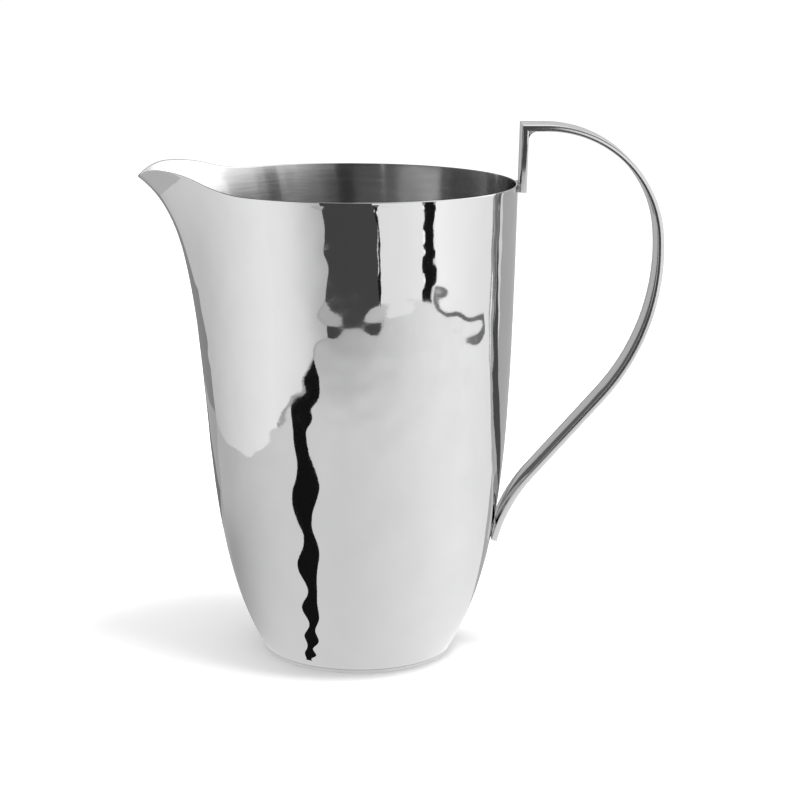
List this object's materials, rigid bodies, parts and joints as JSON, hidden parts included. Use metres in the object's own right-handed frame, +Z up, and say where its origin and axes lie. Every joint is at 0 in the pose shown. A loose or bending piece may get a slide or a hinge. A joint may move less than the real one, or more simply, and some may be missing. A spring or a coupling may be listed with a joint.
{
  "type": "water pitcher",
  "caption": "Hand-hammered, polished metal water pitcher: round tapered wall drawn out into a pouring lip, with a tall flat-bar handle that rises over the rim.",
  "frame": {"origin": "centre of the flat face the pitcher stands on, on the axis of its round wall", "axes": "+Z up along the wall's axis; the pouring lip points along -X and the handle along +X; XZ is the plane of symmetry"},
  "size_m": [0.2228, 0.1356, 0.23],
  "materials": {
    "wall_steel": "mirror-polished, lightly hammered outside; fine satin inside",
    "handle_steel": "mirror-polished flat bar",
    "weld_steel": "dressed weld metal"
  },
  "bodies": {
    "root": {"body_shell": "wall_steel", "base_disc": "wall_steel", "base_weld": "weld_steel", "handle_post": "handle_steel", "handle_strap": "handle_steel", "corner_weld": "weld_steel", "rim_weld": "weld_steel", "foot_weld": "weld_steel"}
  },
  "joints": []
}
